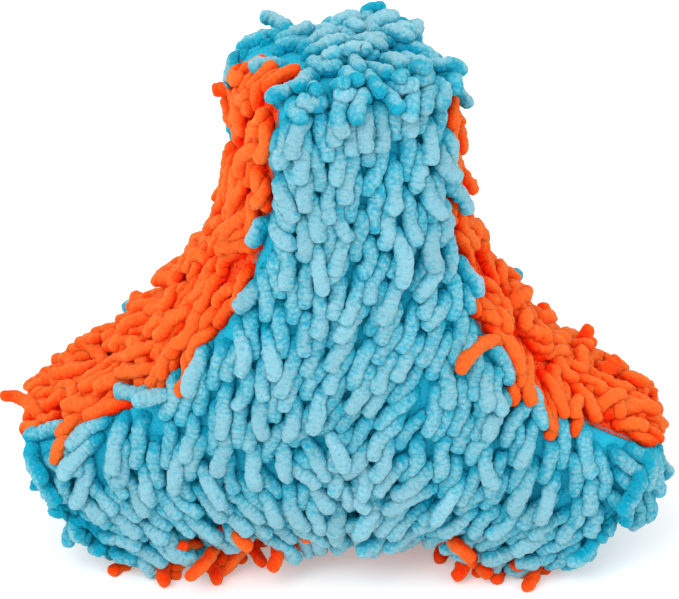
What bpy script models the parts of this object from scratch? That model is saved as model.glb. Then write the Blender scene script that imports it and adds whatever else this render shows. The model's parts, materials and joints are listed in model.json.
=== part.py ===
# Indoor fetch toy: a stuffed chenille plush with three round limbs on one hub.
# Blender 4.5, metres, +Z up. The toy stands on its two lower limbs and faces -Y.
# Eight sewn fabric pieces, four lobes of stuffing and the threads of the seams.

import math

import bmesh
import bpy
from mathutils import Matrix, Vector
from mathutils.bvhtree import BVHTree

# Limbs, listed counter-clockwise as seen from the front
limbs = (
    {"name": "right", "angle": math.radians(330), "rows": 9, "hub_rows": 3},
    {"name": "top", "angle": math.radians(90), "rows": 6, "hub_rows": 2},
    {"name": "left", "angle": math.radians(210), "rows": 9, "hub_rows": 3},
)
top_twist = math.radians(21)         # the top limb turns its front to the right

# Body, measured to the fabric's outer side and without the pile
limb_length = 0.0882                 # hub centre to the seam of the end cap
limb_half_width = 0.0250             # limb axis to the front seam at the end cap
crotch_reach = 0.0425                # hub centre to the front seam between two limbs
end_bow = 0.0028                     # how far a limb's end edge bows outward
seam_depth_hub = 0.0215              # middle plane to the front seam, between two limbs
seam_depth_end = 0.0170              # the same at the end cap
crown_hub = 0.0100                   # how far the front panel swells past its seams at the hub
crown_end = 0.0060                   # the same at the end cap
gusset_swell = 0.0050                # how far a gusset swells past its seams
cap_swell = 0.0045
foot_press = 0.0036                  # how far the weight of the toy flattens a foot's seam
outline_handle_share = 0.38          # pull of the outline's curve, as a share of its chord
top_fade_power = 2                   # a top gusset's swell fades towards its caps by this power
base_fade_power = 8                  # the base gusset keeps its swell nearly up to the feet

# Fabric, seams and thread
fabric_thickness = 0.0015            # chenille backing with the matted root of its pile
piece_gap = 0.0003                   # between a fabric piece and its neighbour or the stuffing
seam_crease = 0.0016                 # how far a seam draws the outer edges of the fabric back
thread_radius = 0.0003
thread_sink = 0.00085                # thread centre below the two fabrics that it joins
thread_end_gap = 0.0016              # a cap's side thread ends this far from the long seams

# Pile: blunt chenille noodles that hang down over the fabric
strand_length = 0.0125
strand_width = 0.0056
strand_root = 0.0070                 # length of its root along the lay
strand_slant = math.radians(26)      # from the fabric up to the strand
strand_gap = 0.0005                  # kept between any two strands
strand_floor = 0.0012                # a strand stays this far above the ground
root_share = 0.80                    # largest part of a cell that a root takes
tip_share = 0.86                     # size of a strand's tip against its root
clear_share = 0.45                   # a strand past this share of its length clears the fabric
spread_share = 1.00                  # pull of level fabric's pile outward, against its pull down

# How the surface is divided
half_columns = 3                     # from a limb's axis to its seam
gusset_columns = 4                   # from the front seam to the back seam
weld_distance = 0.00001
hub_cut_lean = math.radians(30)      # how far the hub's cut leans across a limb
level_share = 0.02                   # steadies the inward step where all faces are nearly level

# Finishes
blue_pile = {"name": "blue_chenille", "colour": (0.22, 0.60, 0.68, 1.0), "roughness": 0.95}
orange_pile = {"name": "orange_chenille", "colour": (1.00, 0.13, 0.02, 1.0), "roughness": 0.95}
fibre_fill = {"name": "white_fibre_fill", "colour": (0.85, 0.85, 0.82, 1.0), "roughness": 0.98}
blue_thread = {"name": "blue_thread", "colour": (0.08, 0.38, 0.48, 1.0), "roughness": 0.55}


def clear_scene():
    for item in list(bpy.data.objects):
        bpy.data.objects.remove(item, do_unlink=True)


def material(finish):
    found = bpy.data.materials.get(finish["name"])
    if found:
        return found
    made = bpy.data.materials.new(finish["name"])
    made.use_nodes = True
    shader = made.node_tree.nodes["Principled BSDF"]
    shader.inputs["Base Color"].default_value = finish["colour"]
    shader.inputs["Roughness"].default_value = finish["roughness"]
    shader.inputs["Metallic"].default_value = 0.0
    made.diffuse_color = finish["colour"]
    return made


def add_object(name, data, finish, parent):
    item = bpy.data.objects.new(name, data)
    data.materials.append(material(finish))
    bpy.context.scene.collection.objects.link(item)
    item.parent = parent
    return item


# Directions in the toy's own plane, which is X and Z
def heading(angle):
    return Vector((math.cos(angle), 0, math.sin(angle)))


def along(limb):
    return heading(limb["angle"])


def across(limb):
    return heading(limb["angle"] + math.pi / 2)


def mix(start, end, share):
    return start + (end - start) * share


def eased(share):
    return share * share * (3 - 2 * share)


# The angle of the crotch on one side of a limb: side is +1 counter-clockwise, -1 clockwise
def crotch_angle(number, side):
    angle = limbs[number]["angle"]
    other = limbs[(number + side) % len(limbs)]["angle"]
    spread = ((other - angle) * side) % (2 * math.pi)
    return angle + side * spread / 2


# Seam outline of one side of a limb, from the crotch (share 0) to the end cap (share 1)
def seam_curve(number, side):
    limb = limbs[number]
    middle = crotch_angle(number, side)
    start = heading(middle) * crotch_reach
    end = along(limb) * limb_length + across(limb) * (side * limb_half_width)
    pull = (end - start).length * outline_handle_share
    return start, start + heading(middle - side * math.pi / 2) * pull, end - along(limb) * pull, end


def seam_point(number, side, share):
    a, b, c, d = seam_curve(number, side)
    rest = 1 - share
    return a * rest ** 3 + b * (3 * rest ** 2 * share) + c * (3 * rest * share ** 2) + d * share ** 3


def seam_outward(number, side, share):
    a, b, c, d = seam_curve(number, side)
    rest = 1 - share
    run = (b - a) * rest ** 2 + (c - b) * (2 * rest * share) + (d - c) * share ** 2
    run.normalize()
    return Vector((-run.z, 0, run.x)) * side


def seam_depth(share):
    return mix(seam_depth_hub, seam_depth_end, eased(share))


# A point of the front (face -1) or back (face +1) panel: across 0 is the limb's axis, 1 the seam
def panel_point(number, side, across_share, share, face):
    limb = limbs[number]
    axis_point = along(limb) * ((limb_length + end_bow) * share)
    point = axis_point.lerp(seam_point(number, side, share), across_share)
    bow = share ** 2 * (across_share - across_share ** 2)
    point += along(limb) * (end_bow * bow)
    crown = mix(crown_hub, crown_end, eased(share)) * math.sqrt(1 - across_share ** 2)
    point.y = face * (seam_depth(share) + crown)
    return point


# A point of a gusset: depth_share runs from -1 at the front seam to +1 at the back seam
def gusset_point(number, side, share, depth_share):
    power = base_fade_power if math.sin(crotch_angle(number, side)) < 0 else top_fade_power
    swell = gusset_swell * (1 - depth_share ** 2) * (1 - share ** power)
    point = seam_point(number, side, share) + seam_outward(number, side, share) * swell
    point.y = depth_share * seam_depth(share)
    return point


def cap_point(number, across_share, depth_share):
    limb = limbs[number]
    edge = 1 - across_share ** 2
    middle = 1 - depth_share ** 2
    reach = limb_length + end_bow * edge + cap_swell * edge * middle
    point = along(limb) * reach + across(limb) * (across_share * limb_half_width)
    point.y = depth_share * (seam_depth_end + crown_end * math.sqrt(edge))
    return point


# The limbs as they settle: the top one twists, and the ground flattens the feet
def floor_level():
    corners = []
    for number in range(len(limbs)):
        for side in (-1, 1):
            corners.append(seam_point(number, side, 1).z)
    return min(corners) + foot_press


def settled(point):
    axis = along(limbs[1])
    reach = min(max(point.dot(axis) / limb_length, 0), 1)
    turned = Matrix.Rotation(top_twist * reach, 3, axis) @ point
    turned.z = max(turned.z - floor_level(), 0)
    return turned


def columns(count):
    return [-1 + 2 * step / count for step in range(count + 1)]


# The whole outer surface as one mesh whose faces know their fabric piece, limb and row
def outer_surface():
    body = bmesh.new()
    piece_layer = body.faces.layers.int.new("piece")
    limb_layer = body.faces.layers.int.new("limb")
    row_layer = body.faces.layers.int.new("row")

    def add_grid(points, piece, limb_of, row_of):
        grid = [[body.verts.new(settled(point)) for point in line] for line in points]
        for i in range(len(grid) - 1):
            for j in range(len(grid[0]) - 1):
                face = body.faces.new((grid[i][j], grid[i + 1][j], grid[i + 1][j + 1], grid[i][j + 1]))
                face[piece_layer] = piece
                face[limb_layer] = limb_of(i)
                face[row_layer] = row_of(i)

    for number, limb in enumerate(limbs):
        rows = limb["rows"]
        for side in (-1, 1):
            for face, piece in ((-1, 0), (1, 1)):
                points = [[panel_point(number, side, column / half_columns, row / rows, face)
                           for column in range(half_columns + 1)] for row in range(rows + 1)]
                add_grid(points, piece, lambda i, n=number: n, lambda i: i)
        other = (number + 1) % len(limbs)
        other_rows = limbs[other]["rows"]
        path = [(number, 1, row / rows) for row in range(rows, 0, -1)]
        path += [(other, -1, row / other_rows) for row in range(other_rows + 1)]
        points = [[gusset_point(*place, depth) for depth in columns(gusset_columns)] for place in path]
        add_grid(points, 2 + number,
                 lambda i, n=number, o=other, r=rows: n if i < r else o,
                 lambda i, r=rows: r - 1 - i if i < r else i - r)
        points = [[cap_point(number, share, depth) for depth in columns(gusset_columns)]
                  for share in columns(2 * half_columns)]
        add_grid(points, 5 + number, lambda i, n=number: n, lambda i, r=rows: r + i)

    bmesh.ops.remove_doubles(body, verts=body.verts, dist=weld_distance)
    bmesh.ops.recalc_face_normals(body, faces=body.faces)
    body.verts.index_update()
    body.faces.index_update()
    body.verts.ensure_lookup_table()
    body.faces.ensure_lookup_table()
    body.normal_update()
    return body


# For each vertex, the inward step that lies one unit under every face that meets there
def inward_steps(body):
    steps = []
    for vertex in body.verts:
        normals = [face.normal for face in vertex.link_faces]
        step = sum(normals, Vector()).normalized()
        matrix = Matrix(((0,) * 3,) * 3)
        total = Vector()
        for normal in normals:
            total += normal
            for i in range(3):
                for j in range(3):
                    matrix[i][j] += normal[i] * normal[j]
        for i in range(3):
            matrix[i][i] += level_share
            total[i] += level_share * step[i]
        steps.append(-(matrix.inverted() @ total))
    return steps


# Triangles of a quad, split from its lowest vertex so that neighbouring layers split alike
def split(indices):
    if len(indices) == 3:
        return [tuple(indices)]
    start = indices.index(min(indices))
    a, b, c, d = (indices[(start + step) % 4] for step in range(4))
    return [(a, b, c), (a, c, d)]


# Steps from the rim of a fabric piece to its inside, along the fabric
def rim_steps(faces):
    uses = {}
    for face in faces:
        for edge in face.edges:
            uses.setdefault(edge, []).append(face)
    pulls = {}
    for edge, users in uses.items():
        if len(users) > 1:
            continue
        face = users[0]
        run = (edge.verts[1].co - edge.verts[0].co).normalized()
        side = face.normal.cross(run).normalized()
        if side.dot(face.calc_center_median() - edge.verts[0].co) < 0:
            side = -side
        for vertex in edge.verts:
            pulls.setdefault(vertex.index, []).append(side)
    steps = {}
    for index, sides in pulls.items():
        first, last = sides[0], sides[-1]
        steps[index] = (first + last) / (1 + first.dot(last))
    return steps


# Where the strands lie: down the fabric, and outward from the middle where it is level
def lay_direction(normal, middle, centre):
    down = Vector((0, 0, -1))
    lay = down - normal * down.dot(normal)
    spread = middle - centre
    spread -= normal * spread.dot(normal)
    if spread.length > weld_distance:
        lay += spread.normalized() * (spread_share * max(normal.z, 0))
    return lay.normalized()


# One strand over a cell: four points of its root and four of its tip
def strand_shape(corners, normal, lay):
    middle = sum(corners, Vector()) / 4
    first = (corners[1] + corners[2] - corners[0] - corners[3]) / 4
    second = (corners[2] + corners[3] - corners[0] - corners[1]) / 4
    sizes = []
    for half, other in ((first, second), (second, first)):
        follows = abs(half.normalized().dot(lay)) > abs(other.normalized().dot(lay))
        wanted = strand_root if follows else strand_width
        sizes.append(min(root_share, wanted / (2 * half.length)))
    signs = ((-1, -1), (1, -1), (1, 1), (-1, 1))
    root = [middle + first * (a * sizes[0]) + second * (b * sizes[1]) for a, b in signs]
    axis = (lay * math.cos(strand_slant) + normal * math.sin(strand_slant)).normalized()
    middle_tip = middle + axis * strand_length
    tip = []
    for point in root:
        offset = point - middle
        offset -= axis * offset.dot(axis)
        tip.append(middle_tip + offset * tip_share)
    return root, tip


strand_faces = ((0, 1, 5, 4), (1, 2, 6, 5), (2, 3, 7, 6), (3, 0, 4, 7), (4, 5, 6, 7))


def swollen(root, tip, amount):
    grown = []
    for ring in (root, tip):
        middle = sum(ring, Vector()) / 4
        for point in ring:
            grown.append(point + (point - middle).normalized() * amount)
    return grown


# Chooses the cells that carry a strand, leaving out any that would cross another or the fabric
def choose_strands(body, centre):
    piece_layer = body.faces.layers.int["piece"]
    row_layer = body.faces.layers.int["row"]
    limb_layer = body.faces.layers.int["limb"]
    fabric = BVHTree.FromBMesh(body)
    chosen = {}
    trees = []
    base_gusset = 2 + [limb["name"] for limb in limbs].index("left")
    order = sorted(body.faces, key=lambda face: (face[piece_layer], face.index))
    for face in order:
        piece = face[piece_layer]
        if piece == base_gusset:
            continue
        row = face[row_layer]
        if piece > 1 and (face.index + row) % 2:
            continue
        if 1 < piece < 5 and row == limbs[face[limb_layer]]["rows"] - 1:
            continue
        corners = [vertex.co.copy() for vertex in face.verts]
        middle = sum(corners, Vector()) / 4
        lay = lay_direction(face.normal, middle, centre)
        root, tip = strand_shape(corners, face.normal, lay)
        if min(point.z for point in tip) < strand_floor:
            continue
        start = [a.lerp(b, clear_share) for a, b in zip(root, tip)]
        outer = BVHTree.FromPolygons(start + tip, strand_faces)
        if outer.overlap(fabric):
            continue
        grown = swollen([a.lerp(b, weld_distance / strand_length) for a, b in zip(root, tip)],
                        tip, strand_gap)
        tree = BVHTree.FromPolygons(grown, strand_faces + ((3, 2, 1, 0),))
        reach = strand_length + strand_root
        near = [other for point, other in trees if (point - middle).length < 2 * reach]
        if any(tree.overlap(other) for other in near):
            continue
        trees.append((middle, BVHTree.FromPolygons(root + tip, strand_faces + ((3, 2, 1, 0),))))
        chosen[face.index] = (root, tip)
    print("strands", len(chosen))
    return chosen


# One fabric piece: outer side, inner side, cut edges, and the strands of its pile
def fabric_piece(name, body, steps, piece, chosen, finish, parent):
    piece_layer = body.faces.layers.int["piece"]
    faces = [face for face in body.faces if face[piece_layer] == piece]
    rim = rim_steps(faces)
    shell = bmesh.new()
    outer, inner = {}, {}
    for index in sorted({vertex.index for face in faces for vertex in face.verts}):
        place = body.verts[index].co
        under = place + steps[index] * fabric_thickness
        if index in rim:
            creased = place + rim[index] * seam_crease
            creased.z *= place.z > 0
            outer[index] = shell.verts.new(creased)
            inner[index] = shell.verts.new(under + rim[index] * piece_gap)
        else:
            outer[index] = shell.verts.new(place)
            inner[index] = shell.verts.new(under)
    count = {}
    for face in faces:
        indices = [vertex.index for vertex in face.verts]
        for a, b in zip(indices, indices[1:] + indices[:1]):
            count[(a, b)] = True
        for triangle in split(indices):
            shell.faces.new([inner[index] for index in reversed(triangle)])
        if face.index not in chosen:
            for triangle in split(indices):
                shell.faces.new([outer[index] for index in triangle])
            continue
        root, tip = chosen[face.index]
        ring = [shell.verts.new(point) for point in root]
        end = [shell.verts.new(point) for point in tip]
        for k in range(4):
            n = (k + 1) % 4
            shell.faces.new((outer[indices[k]], outer[indices[n]], ring[n], ring[k]))
            shell.faces.new((ring[k], ring[n], end[n], end[k]))
        shell.faces.new(end)
    for a, b in count:
        if (b, a) not in count:
            shell.faces.new((outer[b], outer[a], inner[a], inner[b]))
    mesh = bpy.data.meshes.new(name)
    shell.to_mesh(mesh)
    shell.free()
    return add_object(name, mesh, finish, parent)


# One lobe of stuffing: the hub, or the rest of a limb behind its first rows
def stuffing(name, body, steps, limb_number, parent):
    limb_layer = body.faces.layers.int["limb"]
    row_layer = body.faces.layers.int["row"]

    def owner(face):
        number = face[limb_layer]
        return -1 if face[row_layer] < limbs[number]["hub_rows"] else number

    depth = fabric_thickness + piece_gap
    places = [vertex.co + steps[vertex.index] * depth for vertex in body.verts]
    faces = [face for face in body.faces if owner(face) == limb_number]
    lobe = bmesh.new()
    inside = {face.index for face in faces}
    rims = {}
    for face in faces:
        for edge in face.edges:
            other = [user for user in edge.link_faces if user != face][0]
            if other.index not in inside:
                number = max(owner(face), owner(other))
                rims.setdefault(number, []).append((face, edge))
    moved = {}
    if limb_number >= 0:
        shift = piece_gap / math.cos(hub_cut_lean)
        rim_indices = {vertex.index for _, edge in rims[limb_number] for vertex in edge.verts}
        for index in rim_indices:
            for edge in body.verts[index].link_edges:
                other = edge.other_vert(body.verts[index])
                outward = other.index not in rim_indices
                if outward and all(face.index in inside for face in edge.link_faces):
                    run = (places[other.index] - places[index]).normalized()
                    moved[index] = places[index] + run * shift
    made = {}
    for face in faces:
        for vertex in face.verts:
            if vertex.index not in made:
                made[vertex.index] = lobe.verts.new(moved.get(vertex.index, places[vertex.index]))
        for triangle in split([vertex.index for vertex in face.verts]):
            lobe.faces.new([made[index] for index in triangle])
    for number, pairs in rims.items():
        limb = limbs[number]
        share = limb["hub_rows"] / limb["rows"]
        middle = settled(along(limb) * ((limb_length + end_bow) * share))
        if limb_number >= 0:
            middle += along(limb) * shift
        heart = lobe.verts.new(middle)
        for face, edge in pairs:
            indices = [vertex.index for vertex in face.verts]
            a, b = (vertex.index for vertex in edge.verts)
            if indices[(indices.index(a) + 1) % len(indices)] == b:
                a, b = b, a
            lobe.faces.new((made[a], made[b], heart))
    mesh = bpy.data.meshes.new(name)
    lobe.to_mesh(mesh)
    lobe.free()
    return add_object(name, mesh, fibre_fill, parent)


# A thread is a fine tube through the given points
def thread(name, points, closed, parent):
    curve = bpy.data.curves.new(name, "CURVE")
    curve.dimensions = "3D"
    curve.bevel_depth = thread_radius
    curve.bevel_resolution = 0
    curve.use_fill_caps = not closed
    spline = curve.splines.new("POLY")
    spline.points.add(len(points) - 1)
    for point, place in zip(spline.points, points):
        point.co = (*place, 1)
    spline.use_cyclic_u = closed
    return add_object(name, curve, blue_thread, parent)


# Vertices of the body in order along the edges where two fabric pieces meet
def seam_order(body, first_pieces, second_pieces):
    piece_layer = body.faces.layers.int["piece"]
    links = {}
    for edge in body.edges:
        pieces = sorted(face[piece_layer] for face in edge.link_faces)
        if pieces[0] in first_pieces and pieces[1] in second_pieces:
            a, b = (vertex.index for vertex in edge.verts)
            links.setdefault(a, []).append(b)
            links.setdefault(b, []).append(a)
    ends = sorted(index for index, others in links.items() if len(others) == 1)
    start = ends[0] if ends else min(links)
    order = [start]
    while True:
        ahead = [index for index in links[order[-1]] if index not in order]
        if not ahead:
            return order
        order.append(ahead[0])


def thread_places(body, steps, order):
    return [body.verts[index].co + steps[index] * thread_sink for index in order]


def shortened(points):
    first = points[0] + (points[1] - points[0]).normalized() * thread_end_gap
    last = points[-1] + (points[-2] - points[-1]).normalized() * thread_end_gap
    return [first] + points[1:-1] + [last]


def build():
    clear_scene()
    body = outer_surface()
    steps = inward_steps(body)
    centre = settled(Vector())
    chosen = choose_strands(body, centre)
    origin = bpy.data.objects.new("toy_origin", None)
    bpy.context.scene.collection.objects.link(origin)

    fabrics = (
        ("front_panel", blue_pile), ("back_panel", blue_pile),
        ("gusset_top_right", orange_pile), ("gusset_top_left", orange_pile),
        ("gusset_base", orange_pile),
        ("end_cap_right", blue_pile), ("end_cap_top", blue_pile), ("end_cap_left", blue_pile),
    )
    pieces = []
    for piece, (name, finish) in enumerate(fabrics):
        pieces.append(fabric_piece(name, body, steps, piece, chosen, finish, origin))

    stuffing("stuffing_hub", body, steps, -1, origin)
    for number, limb in enumerate(limbs):
        stuffing("stuffing_" + limb["name"] + "_limb", body, steps, number, origin)

    others = range(2, 8)
    for name, piece in (("thread_front_seam", 0), ("thread_back_seam", 1)):
        order = seam_order(body, (piece,), others)
        thread(name, thread_places(body, steps, order), True, origin)
    for number, limb in enumerate(limbs):
        for side, gusset in ((1, number), (-1, (number - 1) % len(limbs))):
            order = seam_order(body, (2 + gusset,), (5 + number,))
            places = shortened(thread_places(body, steps, order))
            side_name = fabrics[2 + gusset][0].replace("gusset_", "")
            thread("thread_cap_" + limb["name"] + "_to_" + side_name, places, False, origin)

    corners = [vertex.co for item in pieces for vertex in item.data.vertices]
    origin.location.x = -(min(c.x for c in corners) + max(c.x for c in corners)) / 2
    origin.location.y = -(min(c.y for c in corners) + max(c.y for c in corners)) / 2
    origin.location.z = -min(c.z for c in corners)
    body.free()


build()
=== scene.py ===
import json
import math

import bpy
import numpy as np
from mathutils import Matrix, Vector
from mathutils.bvhtree import BVHTree

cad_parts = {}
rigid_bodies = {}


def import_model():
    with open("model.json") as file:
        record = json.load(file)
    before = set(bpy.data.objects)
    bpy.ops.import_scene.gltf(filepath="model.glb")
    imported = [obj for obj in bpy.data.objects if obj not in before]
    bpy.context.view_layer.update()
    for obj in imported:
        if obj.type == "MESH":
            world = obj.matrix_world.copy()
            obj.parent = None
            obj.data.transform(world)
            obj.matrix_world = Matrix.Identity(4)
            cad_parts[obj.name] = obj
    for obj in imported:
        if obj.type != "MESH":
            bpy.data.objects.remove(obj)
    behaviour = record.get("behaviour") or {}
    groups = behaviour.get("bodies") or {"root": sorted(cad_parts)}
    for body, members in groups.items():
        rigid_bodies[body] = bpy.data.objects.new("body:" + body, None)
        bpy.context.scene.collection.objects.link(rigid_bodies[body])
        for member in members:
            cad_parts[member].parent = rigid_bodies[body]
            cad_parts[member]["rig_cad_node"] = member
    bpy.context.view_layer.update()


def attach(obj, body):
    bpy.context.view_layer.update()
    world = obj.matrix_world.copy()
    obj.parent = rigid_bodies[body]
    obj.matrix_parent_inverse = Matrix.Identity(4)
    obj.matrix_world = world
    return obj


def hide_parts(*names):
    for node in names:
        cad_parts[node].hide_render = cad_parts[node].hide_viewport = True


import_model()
print("frame loaded")

# Indoor fetch toy: a stuffed plush with three limbs, sewn from chenille noodle fabric.
# Metres, +Z up, front towards -Y, standing on the two lower limbs.

toyShape = {
    "limbNames": ("right", "top", "left"),
    "limbAngles": (330, 90, 210),     # degrees in the XZ plane, from +X
    "topTwist": 21,                   # degrees that the top limb turns
    "limbLength": 0.0882,             # hub centre to the cap's seam
    "limbHalfWidth": 0.0250,
    "crotchReach": 0.0425,            # hub centre to the seam between two limbs
    "endBow": 0.0028,
    "seamDepthHub": 0.0215,           # middle plane to a long seam, at the hub
    "seamDepthEnd": 0.0170,
    "crownHub": 0.0100,               # how far a panel swells past its seams
    "crownEnd": 0.0060,
    "gussetSwell": 0.0050,
    "capSwell": 0.0018,
    "footPress": 0.0036,
    "handleShare": 0.38,
    "topFade": 2,                     # a top gusset's swell fades this sharply towards its caps
    "baseFade": 8,                    # the base gusset keeps its swell nearly up to the feet
    "footPile": 0.0040,               # squashed pile between a foot's cloth and the ground
    "heelStart": 0.052,               # beyond this the outer corner of a foot curves up
    "heelLift": 26.0,                 # metres of lift for each square metre beyond it
    "heelHeight": 0.016,
}


def unit(vectors):
    return vectors / np.maximum(np.linalg.norm(vectors, axis=-1, keepdims=True), 1e-12)


def rowDots(a, b):
    return np.einsum("ij,ij->i", a, b)


def heading(angle):
    return np.array((math.cos(angle), 0.0, math.sin(angle)))


limbAngles = [math.radians(a) for a in toyShape["limbAngles"]]
alongLimb = [heading(a) for a in limbAngles]
acrossLimb = [heading(a + math.pi / 2) for a in limbAngles]


def eased(share):
    return share * share * (3 - 2 * share)


def crotchAngle(limb, side):
    other = limbAngles[(limb + side) % 3]
    return limbAngles[limb] + side * (((other - limbAngles[limb]) * side) % (2 * math.pi)) / 2


def seamHandles(limb, side):
    middle = crotchAngle(limb, side)
    start = heading(middle) * toyShape["crotchReach"]
    end = alongLimb[limb] * toyShape["limbLength"] + acrossLimb[limb] * side * toyShape["limbHalfWidth"]
    pull = np.linalg.norm(end - start) * toyShape["handleShare"]
    return start, start + heading(middle - side * math.pi / 2) * pull, end - alongLimb[limb] * pull, end


def seamPoint(limb, side, share):
    a, b, c, d = seamHandles(limb, side)
    s = np.asarray(share, float)[..., None]
    r = 1 - s
    return a * r**3 + b * 3 * r**2 * s + c * 3 * r * s**2 + d * s**3


def seamOutward(limb, side, share):
    a, b, c, d = seamHandles(limb, side)
    s = np.asarray(share, float)[..., None]
    r = 1 - s
    run = (b - a) * r**2 + (c - b) * 2 * r * s + (d - c) * s**2
    run = unit(run)
    return np.stack((-run[..., 2], 0 * run[..., 0], run[..., 0]), -1) * side


def seamDepth(share):
    return toyShape["seamDepthHub"] + (toyShape["seamDepthEnd"] - toyShape["seamDepthHub"]) * eased(share)


# Panels, gussets and caps as grids. Shares run 0 to 1, or -1 to 1 across a gusset or a cap
def panelPoint(limb, side, acrossShare, share, face):
    axisPoint = alongLimb[limb] * ((toyShape["limbLength"] + toyShape["endBow"]) * share)[..., None]
    point = axisPoint + (seamPoint(limb, side, share) - axisPoint) * acrossShare[..., None]
    bow = toyShape["endBow"] * share**2 * (acrossShare - acrossShare**2)
    point = point + alongLimb[limb] * bow[..., None]
    crown = toyShape["crownHub"] + (toyShape["crownEnd"] - toyShape["crownHub"]) * eased(share)
    point[..., 1] = face * (seamDepth(share) + crown * np.sqrt(np.clip(1 - acrossShare**2, 0, 1)))
    return point


def gussetPoint(limb, side, share, depthShare):
    fade = toyShape["baseFade"] if math.sin(crotchAngle(limb, side)) < 0 else toyShape["topFade"]
    swell = toyShape["gussetSwell"] * (1 - depthShare**2) * (1 - share**fade)
    point = seamPoint(limb, side, share) + seamOutward(limb, side, share) * swell[..., None]
    point[..., 1] = depthShare * seamDepth(share)
    return point


def capPoint(limb, acrossShare, depthShare):
    edge, middle = 1 - acrossShare**2, 1 - depthShare**2
    reach = toyShape["limbLength"] + toyShape["endBow"] * edge + toyShape["capSwell"] * edge * middle
    width = acrossShare * toyShape["limbHalfWidth"]
    point = alongLimb[limb] * reach[..., None] + acrossLimb[limb] * width[..., None]
    point[..., 1] = depthShare * (toyShape["seamDepthEnd"] + toyShape["crownEnd"] * np.sqrt(edge))
    return point


footCorners = [seamPoint(limb, side, 1.0)[2] for limb in range(3) for side in (-1, 1)]
groundLevel = min(footCorners) + toyShape["footPress"]
hubCentre = np.array((0, 0, -groundLevel))


# The top limb twists, and the body rests on its feet, a little above the ground for the pile
def settled(points):
    axis = alongLimb[1]
    turn = math.radians(toyShape["topTwist"]) * np.clip(points @ axis / toyShape["limbLength"], 0, 1)
    c, s = np.cos(turn)[..., None], np.sin(turn)[..., None]
    straight = (points @ axis)[..., None] * axis * (1 - c)
    turned = points * c + np.cross(np.broadcast_to(axis, points.shape), points) * s + straight
    low = turned[..., 2] - groundLevel
    soft = toyShape["footPile"]
    beyond = np.clip(np.abs(turned[..., 0]) - toyShape["heelStart"], 0, None)
    low = low + toyShape["heelLift"] * beyond**2 * np.exp(-np.clip(low, 0, None) / toyShape["heelHeight"])
    turned[..., 2] = np.where(low > 2 * soft, low, soft + np.clip(low, -soft, 2 * soft) * 0.5)
    turned[..., 2] = np.maximum(turned[..., 2], soft)
    return turned


fabricNames = ("front_panel", "back_panel", "gusset_top_right", "gusset_top_left", "gusset_base",
               "end_cap_right", "end_cap_top", "end_cap_left")
blueFabrics = (0, 1, 5, 6, 7)


clothWork = {
    "limbSteps": 22,                  # mesh steps from the hub to a cap
    "halfSteps": 8,                   # from a limb's axis to its seam
    "depthSteps": 10,                 # from the front seam to the back seam
    "weld": 0.00002,                  # nearer mesh points are one
    "thickness": 0.0012,
    "seamCrease": 0.0016,             # how far a seam pulls the cloth in
    "capMargin": 0.0017,              # no root is nearer to a cap's seam
    "sideMargins": (0.0048, 0.0012),  # the same for blue and orange, at the seams of the top limb
    "upperMargins": (0.0019, 0.0032),  # at the upper seams of the lower limbs
    "baseMargins": (0.0019, 0.0018),  # and at the seams of the base gusset
}


# Every grid of the cover: points, fabric number, and how near each point is to a seam
def coverGrids():
    grids = []
    rows = np.linspace(0, 1, clothWork["limbSteps"] + 1)
    halves = np.sin(np.linspace(0, math.pi / 2, clothWork["halfSteps"] + 1))
    depths = np.sin(np.linspace(-math.pi / 2, math.pi / 2, clothWork["depthSteps"] + 1))
    for limb in range(3):
        for side in (-1, 1):
            for face, fabric in ((-1, 0), (1, 1)):
                share, acrossShare = np.meshgrid(rows, halves, indexing="ij")
                nearSeam = np.maximum(acrossShare**6, share**14)
                grids.append((panelPoint(limb, side, acrossShare, share, face), fabric, nearSeam))
        other = (limb + 1) % 3
        first, d = np.meshgrid(rows[::-1], depths, indexing="ij")
        second, _ = np.meshgrid(rows[1:], depths, indexing="ij")
        near = np.concatenate((np.maximum(d**6, first**14), np.maximum(d[1:]**6, second**14)))
        points = np.concatenate((gussetPoint(limb, 1, first, d), gussetPoint(other, -1, second, d[1:])))
        grids.append((points, 2 + limb, near))
        across, d = np.meshgrid(np.linspace(-1, 1, 2 * clothWork["halfSteps"] + 1), depths, indexing="ij")
        grids.append((capPoint(limb, across, d), 5 + limb, np.maximum(across**6, d**6)))
    return grids


# One welded cover: vertices, quads facing outward, and the fabric of each quad
def weldedCover():
    vertices, quads, fabrics, creases = [], [], [], []
    offset = 0
    for points, fabric, nearSeam in coverGrids():
        n, m = nearSeam.shape
        vertices.append(settled(points).reshape(-1, 3))
        creases.append(nearSeam.reshape(-1))
        index = offset + np.arange(n * m).reshape(n, m)
        quad = np.stack((index[:-1, :-1], index[1:, :-1], index[1:, 1:], index[:-1, 1:]), -1).reshape(-1, 4)
        quads.append(quad)
        fabrics.append(np.full(len(quad), fabric))
        offset += n * m
    vertices, quads = np.concatenate(vertices), np.concatenate(quads)
    fabrics, creases = np.concatenate(fabrics), np.concatenate(creases)
    _, firsts, inverse = np.unique(np.round(vertices / clothWork["weld"]).astype(np.int64), axis=0,
                                   return_index=True, return_inverse=True)
    vertices, creases, quads = vertices[firsts], creases[firsts], inverse.reshape(-1)[quads]
    normals = quadNormals(vertices, quads)
    middles = vertices[quads].mean(1)
    flip = rowDots(normals, middles - limbAxisPoint(middles - hubCentre) - hubCentre) < 0
    quads[flip] = quads[flip][:, ::-1]
    return vertices, quads, fabrics, creases


# The nearest point on the three limb axes, which are the skeleton of the toy
def limbAxisPoint(points):
    best = np.zeros_like(points)
    least = np.full(len(points), np.inf)
    for axis in alongLimb:
        reach = np.clip(points @ axis, 0, toyShape["limbLength"] * 0.72)
        near = reach[:, None] * axis
        far = np.linalg.norm(points - near, axis=1)
        closer = far < least
        best[closer], least[closer] = near[closer], far[closer]
    return best


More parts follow.
